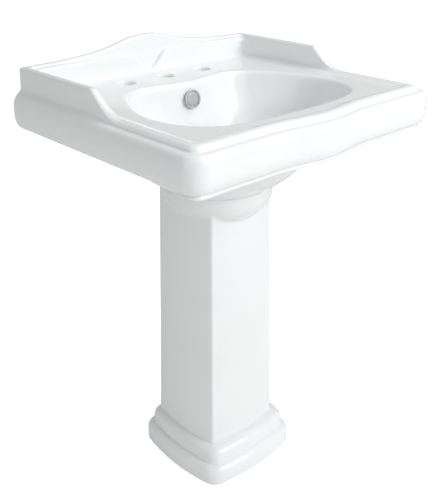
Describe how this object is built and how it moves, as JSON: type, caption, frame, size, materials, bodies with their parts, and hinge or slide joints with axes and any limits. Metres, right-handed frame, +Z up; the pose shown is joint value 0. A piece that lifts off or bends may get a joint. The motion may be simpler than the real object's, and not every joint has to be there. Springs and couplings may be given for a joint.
{
  "type": "pedestal sink",
  "caption": "Glazed china pedestal sink: a shelf-back basin with a wavy front and faucet holes on a square tapered column, with overflow, drain, lift stopper and trap.",
  "frame": {"origin": "centre of the outer box's footprint, on the floor; the wall plane is y = +0.270", "axes": "+Z up, -Y towards the user, +X to the user's right"},
  "size_m": [0.632, 0.54, 0.912],
  "materials": {
    "china": "gloss",
    "chrome": "polished",
    "satin_metal": "satin",
    "brass": "satin",
    "rubber": "matte"
  },
  "bodies": {
    "sink": {"basin": "china", "pedestal": "china", "overflow_ring": "chrome", "drain_flange": "chrome", "tailpiece": "chrome", "trap_bend": "chrome", "trap_inlet_nut": "chrome", "trap_union_nut": "chrome", "trap_arm": "chrome", "overflow_cap": "satin_metal", "drain_body": "brass", "drain_locknut": "brass", "stopper_stem_guide": "brass", "trap_cleanout_plug": "brass", "drain_friction_washer": "brass", "drain_flange_gasket": "rubber", "drain_tapered_washer": "rubber", "tailpiece_seal": "rubber", "trap_cleanout_washer": "rubber", "trap_inlet_washer": "rubber", "trap_union_washer": "rubber"},
    "stopper": {"stopper_cap": "chrome", "stopper_seal": "rubber", "stopper_stem": "brass"}
  },
  "joints": [
    {"name": "stopper_lift", "type": "slide", "parent": "sink", "child": "stopper", "axis": [0, 0, 1], "range_m": [0, 0.01]}
  ]
}
